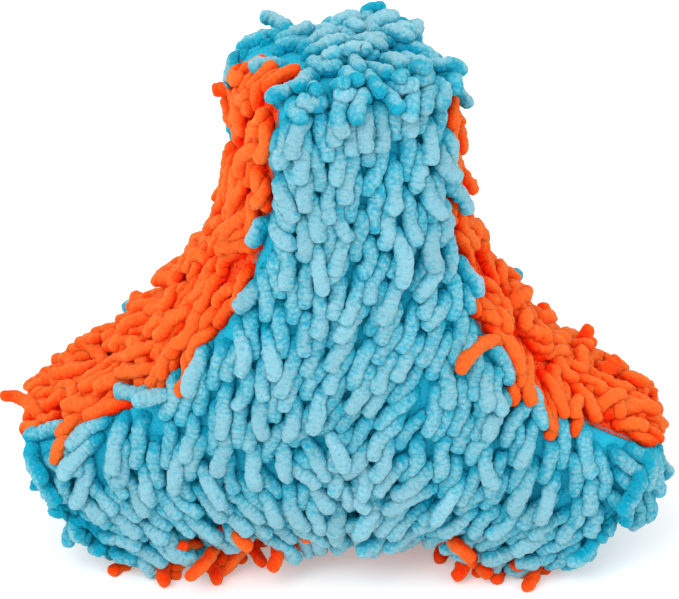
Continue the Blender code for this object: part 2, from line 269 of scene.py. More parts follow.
def quadNormals(vertices, quads):
    a, b, c, d = (vertices[quads[:, k]] for k in range(4))
    return np.cross(c - a, d - b)


def vertexNormals(vertices, quads):
    total = np.zeros_like(vertices)
    for k in range(4):
        np.add.at(total, quads[:, k], quadNormals(vertices, quads))
    return unit(total)


coverPoints, coverQuads, coverFabrics, coverCreases = weldedCover()
coverNormals = vertexNormals(coverPoints, coverQuads)
coverPoints = coverPoints - coverNormals * (coverCreases * clothWork["seamCrease"])[:, None]
coverPoints[:, 2] = np.maximum(coverPoints[:, 2], toyShape["footPile"])
coverTree = BVHTree.FromPolygons([Vector(p) for p in coverPoints], coverQuads.tolist())
print("cover shaped:", len(coverQuads), "faces")


# The nearest spot of the cover to each point, with the cloth's normal and the face there
def nearest(points):
    found = [coverTree.find_nearest(point) for point in points]
    return [np.array([tuple(f[k]) for f in found]) for k in (0, 1)] + [np.array([f[2] for f in found])]


# Spots along the side seams of the top limb, the upper seams of the lower limbs, the seams of
# the base gusset and those of the caps
def seamSpots():
    share, depth, ones = np.linspace(0, 1, 70), np.linspace(-1, 1, 40), np.ones(40)
    sides, upper, base, cap = [], [], [], []
    for limb in range(3):
        for side in (-1, 1):
            for face in (-1, 1):
                line = seamPoint(limb, side, share)
                line[:, 1] = face * seamDepth(share)
                lower = math.sin(crotchAngle(limb, side)) < 0
                (base if lower else sides if limb == 1 else upper).append(settled(line))
            cap.append(settled(capPoint(limb, side * ones, depth)))
        for face in (-1, 1):
            cap.append(settled(capPoint(limb, depth, face * ones)))
    return [np.concatenate(group) for group in (sides, upper, base, cap)]


def farFrom(spots, points):
    return np.array([np.sqrt(((spots - point) ** 2).sum(1).min()) for point in points])


# Pairs of points nearer than the reach, found through a grid of cells
def nearPairs(points, reach):
    cells = np.floor(points / reach).astype(np.int64) + 1000
    key = (cells[:, 0] * 4096 + cells[:, 1]) * 4096 + cells[:, 2]
    order = np.argsort(key, kind="stable")
    ordered = key[order]
    firsts, seconds = [], []
    shifts = [(0, 0, 0), (1, 0, 0), (0, 1, 0), (0, 0, 1), (1, 1, 0), (1, -1, 0), (1, 0, 1), (1, 0, -1),
              (0, 1, 1), (0, 1, -1), (1, 1, 1), (1, 1, -1), (1, -1, 1), (1, -1, -1)]
    for x, y, z in shifts:
        wanted = key + (x * 4096 + y) * 4096 + z
        low = np.searchsorted(ordered, wanted, "left")
        count = np.searchsorted(ordered, wanted, "right") - low
        i = np.repeat(np.arange(len(points)), count)
        ramp = np.arange(len(i)) - np.repeat(np.cumsum(count) - count, count)
        j = order[np.repeat(low, count) + ramp]
        keep = i < j if (x, y, z) == (0, 0, 0) else np.ones(len(i), bool)
        firsts.append(i[keep])
        seconds.append(j[keep])
    i, j = np.concatenate(firsts), np.concatenate(seconds)
    close = rowDots(points[i] - points[j], points[i] - points[j]) < reach**2
    return i[close], j[close]


pileWork = {
    "seed": 41,
    "thinShares": (0.30, 0.36),       # roots left out on the side caps, and along the top limb's sides
    "openSpacing": 0.0057,            # least distance between two roots out on a panel
    "spacing": 0.0046,                # the same near its seams and on the caps
    "orangeSpacing": 0.0041,
    "strewn": 26000,                  # spots strewn at first, of which most are too near another
    "openFrom": 0.0065,               # from this far off its seams, a panel's roots are further apart
    "thinFrom": 0.0050,               # the same for the thinner rows along the top limb's sides
    "evening": 24,                    # steps that even out the roots, as a tufting machine sets them
    "bareRim": 0.0075,                # width without roots along the left rim of the top cap
    "rimDown": 0.0028,                # a row of roots below that cap's front and back seams
    "rimOver": (0.0030, 0.0020),      # a second row, out from the seam and above it
    "rimClear": 0.0026,               # other roots nearer to these rows are left out
    "rings": 44,                      # rings of a strand's finished mesh
    "sides": 18,
    "lumpShare": 0.020,
    "lumpPitches": (0.0043, 0.0029),
    "ovalPitch": 0.011,               # length over which a strand's oval section makes half a turn
    "fuzz": 0.00006,                  # metres of rough fibre on the surface
    "clump": 0.00016,                 # metres of uneven thickness, wider than the fuzz
    "toneSpread": 0.035,
    "evenings": 16,                   # rounds that even the measured heights along a strand
}

rng = np.random.default_rng(pileWork["seed"])


# Roots of the pile, strewn over the cover and then evened out
def pileRoots():
    a, b, c, d = (coverPoints[coverQuads[:, k]] for k in range(4))
    area = np.linalg.norm(np.cross(c - a, d - b), axis=1) / 2
    picked = rng.choice(len(area), pileWork["strewn"], p=area / area.sum())
    u, v = rng.random((2, len(picked), 1))
    spots = (a[picked] * (1 - u) * (1 - v) + b[picked] * u * (1 - v) + c[picked] * u * v
             + d[picked] * (1 - u) * v)
    groups = seamSpots()
    seams = np.concatenate(groups)
    fabrics = coverFabrics[picked]
    spacings = np.where(np.isin(fabrics, blueFabrics), pileWork["spacing"], pileWork["orangeSpacing"])
    inside = (fabrics < 2) & (farFrom(seams, spots) > pileWork["openFrom"])
    spacings[inside] = pileWork["openSpacing"]
    taken, kept = {}, []
    for i, spot in enumerate(spots):
        cell = tuple((spot // pileWork["openSpacing"]).astype(int))
        near = [k for dx in (-1, 0, 1) for dy in (-1, 0, 1) for dz in (-1, 0, 1)
                for k in taken.get((cell[0] + dx, cell[1] + dy, cell[2] + dz), ())]
        if all(np.dot(spots[k] - spot, spots[k] - spot) >= spacings[i] ** 2 for k in near):
            taken.setdefault(cell, []).append(i)
            kept.append(i)
    spots, spacings = spots[kept], spacings[kept]
    allowed = [clothWork["sideMargins"], clothWork["upperMargins"], clothWork["baseMargins"],
               (clothWork["capMargin"], clothWork["capMargin"])]
    allowed = np.concatenate([np.tile(pair, (len(group), 1)) for pair, group in zip(allowed, groups)])
    for step in range(pileWork["evening"]):
        i, j = nearPairs(spots, pileWork["openSpacing"] * 1.55)
        gap = spots[j] - spots[i]
        far = np.maximum(np.linalg.norm(gap, axis=1), 1e-6)
        pair = (spacings[i] + spacings[j]) / 2
        push = gap * (np.clip(1 - far / (pair * 1.55), 0, 1) ** 2 * 0.30 * pair / far)[:, None]
        for axis in range(3):
            spots[:, axis] += (np.bincount(j, push[:, axis], len(spots))
                               - np.bincount(i, push[:, axis], len(spots)))
        spots, normals, faces = nearest(spots)
        if step % 3 == 2:
            orange = (~np.isin(coverFabrics[faces], blueFabrics)).astype(int)
            for k, spot in enumerate(spots):
                away = spot - seams
                far = np.sqrt(rowDots(away, away))
                at = int(far.argmin())
                margin = allowed[at, orange[k]]
                if far[at] < margin:
                    spots[k] = spot + away[at] / max(far[at], 1e-6) * (margin - far[at])
    fabrics = coverFabrics[faces]
    reaches = np.stack([(spots - hubCentre) @ axis for axis in alongLimb], 1)
    topSide = np.isin(fabrics, (2, 3)) & (reaches.argmax(1) == 1) & (reaches.max(1) < 0.066)
    topSide &= farFrom(groups[0], spots) > pileWork["thinFrom"]
    thin = np.where(np.isin(fabrics, (5, 7)), pileWork["thinShares"][0], topSide * pileWork["thinShares"][1])
    kept = rng.random(len(spots)) > thin
    leftRim = settled(capPoint(1, np.ones(40), np.linspace(-0.5, 1, 40)))
    kept &= ~((fabrics == 6) & (farFrom(leftRim, spots) < pileWork["bareRim"]))
    rim = []
    for face in (-1, 1):
        across = np.linspace(-0.86, 0.86, 12)
        line = settled(capPoint(1, across, np.full(12, float(face))))
        out, up = pileWork["rimOver"]
        rim += [spot - (0, 0, pileWork["rimDown"]) for spot in line]
        rim += [spot + (0, -out * face, up) for spot in line[1::2]]
    for spot in rim:
        kept &= np.linalg.norm(spots - spot, axis=1) > pileWork["rimClear"]
    places, ways, faces = nearest(rim)
    fabrics = np.concatenate((fabrics[kept], coverFabrics[faces]))
    return np.concatenate((spots[kept], places)), np.concatenate((normals[kept], ways)), fabrics


# How the strands of each fabric lie. Upright is 0 for flat on the cloth and 1 for standing, turn is
# the spread of their directions in degrees, and press is the share of its radius to which
# neighbours press into a strand
panelStrand = {"length": 0.0165, "spread": 0.0014, "radius": 0.00228, "curl": 0.12,
               "upright": (0.00, 0.35), "turn": 10, "hang": 0.22, "press": 0.78}
gussetStrand = {"length": 0.0130, "spread": 0.0017, "radius": 0.00198, "curl": 0.30,
                "upright": (0.20, 0.95), "turn": 42, "hang": 0.05, "press": 0.68}
capStrand = {"length": 0.0135, "spread": 0.0015, "radius": 0.00222, "curl": 0.22,
             "upright": (0.20, 0.85), "turn": 38, "hang": 0.10, "press": 0.78}

# What seams, feet and handling change: how upright a strand starts (least and most), or how much it
# is raised or flattened, how it clings to the cloth (below 0 it stands off), how it hangs, its share
# of the full length, and what is left of its turn
lies = {
    "capFringe": {"upright": (0.5, 0.8), "cling": 0.45, "hang": 0.35, "size": 0.85},
    "panelEdge": {"upright": (0.0, 0.0), "cling": 1.1, "turn": 0.4},
    "acrossSeam": {"upright": (0.0, 0.15), "cling": 0.7, "hang": 0.0},
    "leftShoulder": {"upright": (0.3, 0.6), "cling": 0.4},
    "rightShoulder": {"upright": (0.0, 0.0), "cling": 0.95},
    "archFringe": {"cling": 0.1, "hang": 0.75, "size": 1.08},
    "leftFootFringe": {"hang": 0.3, "size": 0.62},
    "rightFootFringe": {"hang": 0.3, "size": 0.80},
    "heel": {"size": 0.75},
    "capLeft": {"upright": (0.0, 0.0), "cling": 0.95, "turn": 0.3},
    "capFront": {"upright": (0.2, 0.6), "cling": 0.3, "size": 0.85, "turn": 0.7},
    "sideCap": {"flattened": 0.15, "cling": 0.95, "size": 0.85},
    "sideCapFoot": {"cling": 1.1, "size": 0.65},
    "base": {"flattened": 0.2, "hang": 0.6},
    "arch": {"cling": 0.3, "hang": 0.4, "size": 0.9},
    "footEnd": {"upright": (0.0, 0.0), "cling": 0.3, "size": 0.85},
    "leftFoot": {"upright": (0.0, 0.0), "cling": -0.3, "hang": 1.1, "size": 1.35},
    "rightFoot": {"upright": (0.0, 0.0), "cling": -0.3, "hang": 1.1, "size": 1.15},
    "topLimbSide": {"flattened": 0.15, "cling": 0.95, "size": 1.05, "turn": 0.5},
    "leftSlope": {"raised": 0.5, "cling": -0.1, "size": 1.2},
    "rightSlope": {"raised": 0.35, "size": 1.2},
    "leftGusset": {"hang": 0.0},
    "tip": {"upright": (0.0, 0.3), "cling": 0.3, "hang": 0.0, "size": 0.8, "turn": 0.3},
    "leftSeamRow": {"cling": 0.7},
    "rightSeamRow": {"cling": 0.0, "hang": 0.8, "size": 1.25},
    "rightSeamEnd": {"cling": 0.2, "hang": 0.5, "size": 1.05},
    "capLeftSpikes": {"upright": (0.1, 0.4), "cling": 0.5, "size": 1.0},
}

# How far these changes reach, in metres: from a seam, to the side of the hub's middle (wide), above
# it (high, or low when below 0), in front of the middle plane (deep), and out along a limb (reach)
bands = {
    "wave": 0.055, "capFringe": 0.0042, "panelEdge": 0.0075, "panelEdgeHigh": 0.055,
    "shoulder": 0.0055, "acrossSeam": 0.0045, "acrossSeamWide": 0.078, "acrossSeamOften": 0.064,
    "acrossSeamUp": 0.058, "archFringe": 0.0090, "archFringeWide": 0.032, "footFringe": 0.0070,
    "heelWide": 0.072, "heelLow": (-0.018, -0.035), "capFootLow": (-0.012, -0.030),
    "capLeftDeep": -0.012, "capFront": 0.008, "capFrontDeep": -0.008, "archWide": (0.014, 0.028),
    "archMiddle": 0.008, "footWide": 0.060, "footInward": 0.046, "footRow": 0.005,
    "rightSlope": 0.055, "tip": 0.072, "seamRow": 0.009, "leftSeamWide": 0.048,
    "rightSeamWide": 0.056, "rightEndWide": 0.068, "spikes": 0.066, "spikesDeep": -0.015,
}

# Single strands that handling has pulled out of the lie: fabric piece, place in millimetres,
# the way it points, how upright it starts, and its share of the full length
strayStrands = (
    ("end_cap_top", (-18, 18, 157), (-1.0, 0.1, 0.15), 0.2, 1.15),
    ("end_cap_top", (-16, -12, 154), (-0.8, -0.5, -0.5), 0.2, 0.85),
    ("end_cap_top", (-17, -14, 156), (-0.4, -0.9, -0.8), 0.2, 1.0),
    ("end_cap_top", (-12, -16, 157), (-0.7, -0.6, -0.8), 0.3, 1.1),
    ("end_cap_top", (26, 8, 153), (0.5, 0.0, -1.0), 0.2, 1.0),
    ("end_cap_top", (24, 0, 154), (0.5, -0.1, -1.0), 0.2, 1.0),
    ("front_panel", (27, -13, 133), (0.7, -0.1, -0.5), 0.2, 0.80),
    ("front_panel", (28, -16, 124), (0.15, -0.1, -1.0), 0.0, 0.9),
    ("front_panel", (-21, -20, 120), (-0.45, -0.2, -1.0), 0.2, 0.80),
    ("front_panel", (-27, -21, 101), (-0.80, -0.3, -0.6), 0.2, 0.65),
    ("front_panel", (-47, -22, 64), (-1.0, -0.3, -0.2), 0.3, 0.85),
    ("gusset_top_right", (34, 2, 120), (0.4, 0.0, -0.9), 0.7, 1.0),
    ("gusset_top_right", (42, 2, 100), (0.7, 0.0, -0.7), 0.7, 1.0),
    ("gusset_top_right", (69, 10, 60), (0.2, 0.0, 1.0), 1.0, 1.2),
    ("gusset_top_right", (74, 4, 55), (0.4, 0.0, 0.8), 1.0, 1.1),
    ("gusset_top_right", (44, -17, 74), (-1.0, -0.5, -0.8), 0.9, 1.75),
    ("gusset_top_left", (-32, 6, 142), (-0.8, 0.0, -0.2), 0.8, 0.65),
    ("gusset_top_left", (-85, -8, 46), (-1.0, -0.1, 0.0), 0.3, 1.2),
    ("gusset_top_left", (-80, 6, 58), (-0.9, 0.0, 0.3), 0.8, 0.85),
    ("end_cap_left", (-78, -14, 16), (-0.1, -0.3, -1.0), 0.3, 1.0),
    ("end_cap_right", (86, -13, 42), (0.5, -0.3, -0.8), 0.4, 1.0),
    ("gusset_top_right", (84, -8, 44), (0.5, -0.4, -0.8), 0.4, 0.9),
    ("back_panel", (-64, 20, 58), (-0.4, 0.1, 1.0), 0.6, 0.72),
    ("back_panel", (49, 20, 67), (0.3, 0.1, 1.0), 0.6, 0.80),
)


# The way each strand is brushed: down the panels and in under the limbs, along the gussets, to
# the right over the top cap. Slow waves turn neighbours alike, and each turns a little by itself.
# Also how upright it starts, how it clings and hangs, and its share of the full length
def brushed(roots, normals, fabrics):
    waves = rng.normal(0, 1, (5, 3)) * 2 * math.pi / bands["wave"]
    phases = rng.random(5) * 2 * math.pi
    fromSides, fromUpper, fromBase, fromCap = (farFrom(spots, roots) for spots in seamSpots())
    chance, bell = rng.random((len(roots), 3)), rng.normal(0, 1, (len(roots), 2))
    places = roots - hubCentre
    x, y, z = places.T
    reaches = places @ np.transpose(alongLimb)
    limb, reach = reaches.argmax(1), reaches.max(1)
    axis = np.array(alongLimb)[limb]
    wide, atLeft, top, face = np.abs(x), x <= 0, limb == 1, np.sign(y)
    right, back, up = np.eye(3)
    down = -up
    inward = np.where(atLeft, 1.0, -1.0)[:, None] * right
    kinds = [panelStrand if f < 2 else capStrand if f > 4 else gussetStrand for f in fabrics]
    low, high = np.transpose([k["upright"] for k in kinds])
    state = {"upright": (low + (high - low) * chance[:, 0]) ** 1.5,
             "hang": np.array([k["hang"] for k in kinds]), "size": np.ones(len(roots))}
    state["cling"] = 0.75 - 0.85 * state["upright"]
    way = np.zeros_like(roots)

    def column(values):
        return np.asarray(values, float)[:, None]

    def aim(where, ways):
        way[where] = np.broadcast_to(ways, way.shape)[where]

    def lay(where, name):
        for key, value in lies[name].items():
            if key == "upright":
                state[key][where] = (value[0] + (value[1] - value[0]) * chance[:, 0])[where]
            elif key == "raised":
                state["upright"][where] = np.minimum(state["upright"][where] + value, 1)
            elif key in ("flattened", "turn"):
                (state["upright"] if key == "flattened" else turn)[where] *= value
            else:
                state[key][where] = value

    panel, sideCap, base = fabrics < 2, np.isin(fabrics, (5, 7)), fabrics == 4
    topCap, gusset, leftGusset = fabrics == 6, np.isin(fabrics, (2, 3)), fabrics == 3
    below = np.where(top, 0, np.clip((-z - wide * 0.45 + 0.006) / 0.020, 0, 1))
    away = np.clip(wide / 0.025, 0, 1)
    spread = np.radians([k["turn"] for k in kinds])
    loose = np.select((panel, topCap, sideCap, base), (1 + 3 * below * (1 - away), 1.3, 0.6, 0.8), 1.0)
    slow = np.sin(places @ waves.T + phases).sum(1) / math.sqrt(5)
    turn = slow * np.select((panel, gusset), (0.16, 0.5), 0.3) + bell[:, 0] * spread * loose

    # Panels, where some strands on the shoulders cross the seam
    middle = np.clip((0.062 - z) / 0.020, 0, 1) * np.clip(z / 0.015 + 1, 0, 1)
    lean = np.where(z > -0.015, 0.10 + 0.45 * middle * np.clip((x + 0.006) / 0.012, 0, 1), 0)
    aim(panel, down + inward * column(below * away * 1.9) - column(lean) * right)
    state["hang"] += np.where(panel, 0.25 * below * (1 - away), 0)
    lay(panel & top & (fromCap < bands["capFringe"]), "capFringe")
    edge = panel & (fromSides < bands["panelEdge"])
    aim(edge, way + inward * column(np.where(top & (z > bands["panelEdgeHigh"]), 0.40, 0.22)))
    lay(edge, "panelEdge")
    shoulder = panel & (fromUpper < bands["shoulder"])
    photoLeft = (fabrics == 0) == (x < 0)
    often = np.where(wide < bands["acrossSeamOften"], 0.36, 0.75)
    across = shoulder & photoLeft & (fromUpper < bands["acrossSeam"]) & (chance[:, 1] < often)
    across &= wide < bands["acrossSeamWide"]
    aim(across, axis + column(np.where(wide < bands["acrossSeamUp"], 0, 0.45)) * up)
    lay(across, "acrossSeam")
    lay(shoulder & photoLeft & ~across, "leftShoulder")
    lay(shoulder & ~photoLeft, "rightShoulder")
    fringe = panel & (fromBase < bands["archFringe"]) & (wide < bands["archFringeWide"])
    lay(fringe, "archFringe")
    fringe = panel & (fromBase < bands["footFringe"]) & ~fringe
    aim(fringe, way + inward * 1.2)
    lay(fringe & atLeft, "leftFootFringe")
    lay(fringe & ~atLeft, "rightFootFringe")
    heel = panel & (wide > bands["heelWide"]) & (z < np.where(atLeft, *bands["heelLow"]))
    aim(heel, way + inward * 0.8)
    lay(heel, "heel")

    # Caps
    outward = unit(places - axis * column(reach))
    aim(topCap, outward * column(np.where(outward[:, 0] > 0, 0.45, 0)) + right * 0.75 - back * 0.25)
    lay(topCap & (outward[:, 0] < -0.3) & (y > bands["capLeftDeep"]), "capLeft")
    rim = topCap & (y < bands["capFrontDeep"]) & (fromCap < bands["capFront"])
    aim(rim, column(np.where(x < -0.004, -0.5, 0.3)) * right - back)
    lay(rim, "capFront")
    aim(sideCap, down + inward * 0.7)
    lay(sideCap, "sideCap")
    low = sideCap & (z < np.where(atLeft, *bands["capFootLow"]))
    aim(low, way + inward * 0.8)
    lay(low, "sideCapFoot")

    # Base gusset, whose pile comes out under the feet
    foot = np.clip((wide - 0.016) / 0.015, 0, 1)
    aim(base, inward * column(0.9 - 0.7 * foot) + column(face * (0.3 + 1.6 * foot)) * back)
    lay(base, "base")
    sideways = column(np.where(chance[:, 1] < 0.5, 1, -1)) * right
    arch = base & (wide < np.where(atLeft, *bands["archWide"]))
    end = base & ~arch & (wide > bands["footWide"])
    row = base & ~arch & ~end & (np.abs(y) > bands["footRow"])
    aim(arch, sideways + column(face * np.where(np.abs(y) > bands["archMiddle"], 0.6, -0.6)) * back)
    aim(end, inward + column(face * 0.4) * back)
    out = np.where(atLeft, 1.0 + 1.6 * chance[:, 2], 0.6 + 0.9 * chance[:, 2])
    beside = np.where((wide > bands["footInward"])[:, None], inward, sideways)
    aim(row, beside + column(face * out) * back)
    for where, name in ((arch, "arch"), (end, "footEnd"), (row & atLeft, "leftFoot"),
                        (row & ~atLeft, "rightFoot")):
        lay(where, name)

    # Upper gussets
    aim(gusset, axis * column(np.where(top, -1, 1)) + down * 0.2)
    slope = gusset & ~top
    lay(gusset & top, "topLimbSide")
    lay(slope & leftGusset, "leftSlope")
    lay(slope & ~leftGusset & (reach > bands["rightSlope"]), "rightSlope")
    lay(leftGusset, "leftGusset")
    tip = slope & (reach > bands["tip"])
    aim(tip, axis + up * 0.35)
    lay(tip, "tip")

    # Turned in the cloth's plane, and the rows at the gussets' seams set after that
    way = unit(way - normals * column(rowDots(way, normals)))
    way = way * column(np.cos(turn)) + np.cross(normals, way) * column(np.sin(turn))
    row = gusset & (np.abs(y) > bands["seamRow"])
    leftRow = row & leftGusset & (y < 0)
    backRow = row & ~leftRow & (top | (y > 0))
    rightRow = row & ~leftRow & ~backRow & (wide < bands["rightSeamWide"])
    rightEnd = row & ~leftRow & ~backRow & ~rightRow & (wide < bands["rightEndWide"])
    leftWay = np.where(top, 0, np.where(wide < bands["leftSeamWide"], -0.15, 0.20))
    deep = np.abs(way[:, 1])
    way[:, 1] = np.select((leftRow, backRow, rightRow, rightEnd),
                          (leftWay, -face * deep * 0.6, -deep - 0.8, -deep - 0.6), way[:, 1])
    spikes = leftGusset & top & (reach > bands["spikes"]) & (y > bands["spikesDeep"])
    aim(spikes, np.stack((np.where(y < 0.002, 0.75, 0.3), bell[:, 1] * 0.25, np.full(len(y), 0.9)), 1))
    for where, name in ((leftRow, "leftSeamRow"), (rightRow, "rightSeamRow"), (rightEnd, "rightSeamEnd"),
                        (spikes, "capLeftSpikes")):
        lay(where, name)
    way = unit(way)
    for name, spot, direction, lifted, share in strayStrands:
        far = np.linalg.norm(roots - np.array(spot) / 1000, axis=1) + (fabrics != fabricNames.index(name))
        i = int(far.argmin())
        way[i] = unit(np.array(direction))
        state["upright"][i], state["size"][i], state["hang"][i] = lifted, share, 0.0
        state["cling"][i] = -0.75 * max(way[i] @ normals[i], 0.0) - 0.15
    return way, kinds, state


settleWork = {
    "points": 9,                      # chain points of a strand
    "steps": 120,
    "rounds": 3,                      # rounds of pressing apart in a step
    "pull": 0.00012,                  # metres that a free point moves in a step
    "brush": 0.75,                    # share of the pull along the brushed way
    "stiffness": 0.20,
    "sunk": 0.0012,                   # metres of a root under the cloth
    "clothPress": 0.85,               # share of its radius that a strand keeps over the cloth
    "floorPress": 0.62,               # the same over the ground
}


# Strands fall, bend and press on one another and on the cloth until the pile lies still
def settledPile(roots, normals, lays, lengths, radii, firm, curls, uprights, clings, hangs, steps):
    n, m = len(roots), settleWork["points"]
    segment = (lengths / (m - 1))[:, None]
    lift = unit(normals * (0.55 + 0.45 * uprights)[:, None] + lays * (0.80 - 0.45 * uprights)[:, None])
    points = np.zeros((n, m, 3))
    points[:, 0] = roots - normals * settleWork["sunk"]
    points[:, 1] = points[:, 0] + lift * segment
    for k in range(2, m):
        way = unit(normals * (0.40 - 0.05 * k + 0.8 * uprights)[:, None] + lays)
        points[:, k] = points[:, k - 1] + way * segment
    fixed = points[:, :2].copy()
    weight = np.ones((n, m))
    weight[:, :2] = 0
    weight = weight.reshape(-1)
    strand = np.repeat(np.arange(n), m)
    place = np.tile(np.arange(m), n)
    thick = np.repeat(radii, m)
    core = thick * np.repeat(firm, m)
    weightPull = np.repeat(hangs, m)[:, None] * np.array((0.0, 0.0, -1.0))
    brush = np.repeat(lays, m, axis=0)
    cling = np.repeat(clings, m)[:, None]
    free = (place >= 2)[:, None]
    for step in range(steps):
        flat = points.reshape(-1, 3)
        if step % 4 == 0:
            i, j = nearPairs(flat, 2 * radii.max() + 0.0010)
            apart = (strand[i] != strand[j]) | (np.abs(place[i] - place[j]) > 3)
            i, j = i[apart], j[apart]
            contact = core[i] + core[j]
            shares = weight[i] + weight[j]
            movable = shares > 0
            i, j, contact, shares = i[movable], j[movable], contact[movable], shares[movable]
        if step % 3 == 0:
            touch, out, _ = nearest(flat)
        along = brush - out * rowDots(brush, out)[:, None]
        move = (along * settleWork["brush"] - out * cling + weightPull) * settleWork["pull"] * free
        points = (flat + move).reshape(n, m, 3)
        for _ in range(settleWork["rounds"]):
            flat = points.reshape(-1, 3)
            gap = flat[j] - flat[i]
            far = np.sqrt(rowDots(gap, gap)) + 1e-9
            press = np.clip(contact - far, 0, None) / far / shares
            hit = press > 0
            a, b = i[hit], j[hit]
            push = gap[hit] * press[hit][:, None]
            total = np.zeros((n * m, 3))
            for axis in range(3):
                total[:, axis] += np.bincount(b, push[:, axis] * weight[b], n * m)
                total[:, axis] -= np.bincount(a, push[:, axis] * weight[a], n * m)
            many = np.bincount(a, minlength=n * m) + np.bincount(b, minlength=n * m)
            flat = flat + total / np.sqrt(np.maximum(many, 1))[:, None]
            depth = thick * settleWork["clothPress"] - rowDots(flat - touch, out)
            flat = flat + out * (np.clip(depth, 0, None) * (weight > 0))[:, None]
            floor = thick * settleWork["floorPress"]
            flat[:, 2] = np.where(weight > 0, np.maximum(flat[:, 2], floor), flat[:, 2])
            points = flat.reshape(n, m, 3)
            points[:, :2] = fixed
            middle = (points[:, 1:-2] + points[:, 3:]) / 2 + curls[:, None, :] * segment[:, None, :]
            points[:, 2:-1] += (middle - points[:, 2:-1]) * settleWork["stiffness"]
            for k in range(2, m):
                points[:, k] = points[:, k - 1] + unit(points[:, k] - points[:, k - 1]) * segment
    return points


roots, rootNormals, rootFabrics = pileRoots()
lays, strandOf, lie = brushed(roots, rootNormals, rootFabrics)
lengths = np.array([rng.normal(s["length"], s["spread"]) for s in strandOf]) * lie["size"]
radii = np.array([s["radius"] * rng.normal(1, 0.05) for s in strandOf])
curlSize = np.array([s["curl"] * rng.normal(0, 0.7) for s in strandOf])
curls = np.cross(rootNormals, lays) * curlSize[:, None] + rng.normal(0, 0.03, (len(roots), 3))
print("pile rooted:", len(roots), "strands")
pilePoints = settledPile(roots, rootNormals, lays, lengths, radii, np.array([s["press"] for s in strandOf]),
                         curls, lie["upright"], lie["cling"], lie["hang"],
                         settleWork["steps"])
print("pile settled")


# Round strands with rounded tips, lumps, cross ridges and rough fibre
def strandMeshes(paths, strandRadii, strandLengths):
    n, m, _ = paths.shape
    rings, sides = pileWork["rings"], pileWork["sides"]
    tip = float((strandRadii / strandLengths).mean())
    ends = np.array((0.0, 0.06, 0.22, 0.52, 1.0)) * tip
    run = np.concatenate((ends[:-1], np.linspace(tip, 1 - tip, rings - 8), 1 - ends[:-1][::-1]))
    rise = np.minimum(run, 1 - run) / tip
    profile = np.clip(1 - (1 - np.clip(rise, 0, 1))**2.6, 0, 1) ** 0.45
    profile[:5] = np.maximum(profile[:5], (0.2, 0.85, 0.95, 1, 1))
    profile[-1] = 0.10
    t = run * (m - 1)
    index = np.clip(np.floor(t).astype(int), 0, m - 2)
    f = t - index
    around = np.clip(np.stack((index - 1, index, index + 1, index + 2), 1), 0, m - 1)
    weights = np.stack((-0.5 * f + f**2 - 0.5 * f**3, 1 - 2.5 * f**2 + 1.5 * f**3,
                        0.5 * f + 2 * f**2 - 1.5 * f**3, -0.5 * f**2 + 0.5 * f**3), 1)
    centre = np.einsum("rj,nrjc->nrc", weights, paths[:, around])
    tangent = unit(np.gradient(centre, axis=1))
    side = np.cross(tangent[:, 0], rng.normal(0, 1, (n, 3)))
    frames = np.zeros((n, rings, 2, 3))
    for r in range(rings):
        side = unit(side - tangent[:, r] * rowDots(side, tangent[:, r])[:, None])
        frames[:, r, 0], frames[:, r, 1] = side, np.cross(tangent[:, r], side)
    length = strandLengths[:, None] * run[None, :]
    phase = rng.random((n, 3, 1)) * 2 * math.pi
    wide, narrow = pileWork["lumpPitches"]
    lump = (np.sin(2 * math.pi * length / wide + phase[:, 0])
            + 0.7 * np.sin(2 * math.pi * length / narrow + phase[:, 1]))
    radius = strandRadii[:, None] * profile * (1 + pileWork["lumpShare"] * lump)
    angle = np.linspace(0, 2 * math.pi, sides, endpoint=False) + phase[:, 2][:, :, None]
    oval = 1 + 0.06 * np.sin(2 * angle + 2 * math.pi * length[:, :, None] / pileWork["ovalPitch"])
    rough = rng.normal(0, pileWork["fuzz"], (n, rings, sides))
    clump = rng.normal(0, 1, (n, rings, sides))
    for k in range(3):
        if k == 0:
            clump = (clump * 2 + np.roll(clump, 1, 2) + np.roll(clump, -1, 2)) / 4
        clump[:, 1:-1] = (clump[:, :-2] + clump[:, 1:-1] + clump[:, 2:]) / 3
    rough = (rough + clump * pileWork["clump"] / clump.std()) * profile[None, :, None]
    reach = radius[:, :, None] * oval + rough
    ways = (frames[:, :, 0, None, :] * np.cos(angle)[..., None]
            + frames[:, :, 1, None, :] * np.sin(angle)[..., None])
    points = centre[:, :, None, :] + ways * reach[..., None]
    points[..., 2] = np.maximum(points[..., 2], 0.0)
    return points, centre, run


# Height of each strand's surface over the cloth, and how far it faces away from the cloth,
# for the painted shade that darkens the colour low between the strands and on their sides and undersides
def pileHeights(points, centre):
    n, rings, sides, _ = points.shape
    heights, facings = np.zeros((2, n, rings, sides))
    for s in range(n):
        for r in range(0, rings, 3):
            near, normal, _, _ = coverTree.find_nearest(centre[s, r])
            normal = np.array(normal)
            heights[s, r:r + 3] = (points[s, r:r + 3] - np.array(near)) @ normal
            facings[s, r:r + 3] = (points[s, r:r + 3] - centre[s, r:r + 3, None]) @ normal / radii[s]
    for values in (heights, facings):
        for _ in range(pileWork["evenings"]):
            values[:, 1:-1] = (values[:, :-2] + values[:, 1:-1] + values[:, 2:]) / 3
    return heights, facings


def hexColour(text):
    parts = [int(text[k:k + 2], 16) / 255 for k in (1, 3, 5)]
    return (*[p / 12.92 if p <= 0.04045 else ((p + 0.055) / 1.055) ** 2.4 for p in parts], 1.0)


